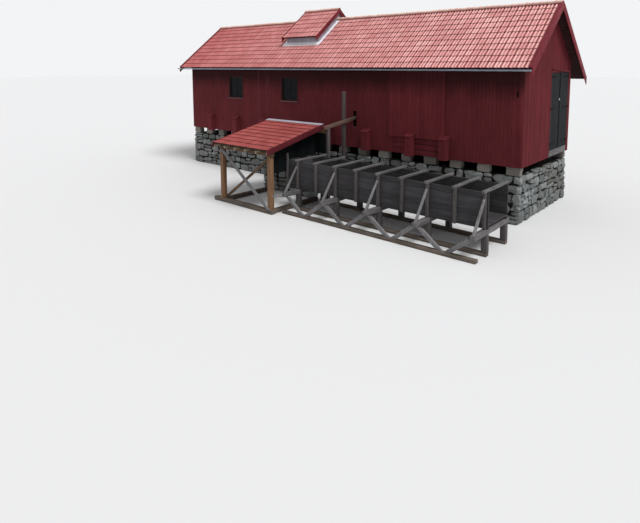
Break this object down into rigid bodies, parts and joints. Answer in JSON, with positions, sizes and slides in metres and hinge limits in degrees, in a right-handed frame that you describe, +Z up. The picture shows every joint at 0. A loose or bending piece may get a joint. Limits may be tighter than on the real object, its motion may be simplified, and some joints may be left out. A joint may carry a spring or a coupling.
{
  "type": "watermill",
  "caption": "Timber watermill: long red boarded mill house on drystone walls with a tiled gable roof, a roof hood, an open wheel shelter and a timber flume",
  "frame": {"origin": "on the lowest ground, under the middle of the whole part's box", "axes": "+X along the mill house towards the doored gable, +Y from the shelter to the house, +Z up"},
  "size_m": [22.6, 12.15, 9.3475],
  "materials": {
    "drystone": "rough grey drystone with dark joints",
    "block_stone": "split grey granite blocks",
    "red_boards": "upright boards in dull dark red oxide paint",
    "red_trim": "red oxide paint on planed boards",
    "old_timber": "dry weathered timber",
    "floor_timber": "worn sawn floor boards",
    "grey_timber": "weathered silver-grey timber",
    "new_timber": "golden brown stained timber",
    "pale_timber": "pale sawn rafter timber",
    "roof_tiles": "light red double-roll tiles, dull and mossy",
    "shelter_tiles": "deep red double-roll tiles",
    "grey_sheet": "blue-grey coated steel sheet",
    "hood_sheet": "dull grey sheet",
    "pale_sheet": "pale weathered sheet",
    "dark_glass": "dark dusty panes",
    "charcoal_doors": "charcoal painted boarded doors",
    "black_iron": "black forged iron",
    "black_boards": "black tarred boards"
  },
  "bodies": {
    "mill": {"foundation_sides": "drystone", "foundation_ends": "drystone", "pier_blocks": "block_stone", "wheel_pit_wall": "drystone", "sill_beams": "old_timber", "floor": "floor_timber", "front_wall_left": "red_boards", "front_wall_right": "red_boards", "front_wall_slot_boards": "red_boards", "back_wall": "red_boards", "left_gable": "red_boards", "right_gable_sides": "red_boards", "right_gable_top": "red_boards", "door_threshold": "old_timber", "rafters": "old_timber", "tie_beams": "old_timber", "ridge_board": "old_timber", "roof_front": "roof_tiles", "roof_back": "roof_tiles", "ridge_cap": "roof_tiles", "bargeboards": "red_trim", "gutter": "grey_sheet", "gutter_brackets": "grey_sheet", "hood_walls": "hood_sheet", "hood_roof": "roof_tiles", "hood_flashing": "pale_sheet", "window_frames": "red_trim", "window_panes": "dark_glass", "wall_foot_boxes": "red_trim", "wall_trim": "red_trim", "hatch_panel": "red_boards", "hatch_rails": "red_boards", "door_pintles": "black_iron", "sluice_pole": "grey_timber", "shelter_posts": "new_timber", "shelter_beams": "new_timber", "shelter_rafters": "pale_timber", "shelter_roof": "shelter_tiles", "shelter_flashing": "pale_sheet", "shelter_braces": "new_timber", "sill_logs": "grey_timber", "side_panel": "black_boards", "flume_floor": "grey_timber", "flume_walls": "grey_timber", "flume_posts": "grey_timber", "flume_ties": "grey_timber", "flume_stringers": "grey_timber", "trestle_beams": "grey_timber", "trestle_posts": "grey_timber", "flume_braces": "grey_timber"},
    "door_near": {"door_near_leaf": "charcoal_doors", "door_near_straps": "black_iron"},
    "door_far": {"door_far_leaf": "charcoal_doors", "door_far_straps": "black_iron"},
    "lever": {"sluice_lever": "grey_timber"}
  },
  "joints": [
    {"name": "door_near_swing", "type": "hinge", "parent": "mill", "child": "door_near", "pos_m": [10.886, 2.405, 4.1], "axis": [0, 0, -1], "range_deg": [0, 110]},
    {"name": "door_far_swing", "type": "hinge", "parent": "mill", "child": "door_far", "pos_m": [10.886, 4.725, 4.1], "axis": [0, 0, 1], "range_deg": [0, 110]},
    {"name": "lever_tilt", "type": "hinge", "parent": "mill", "child": "lever", "pos_m": [2.812, -1.315, 3.58], "axis": [-1, 0, 0], "range_deg": [0, 20]}
  ]
}
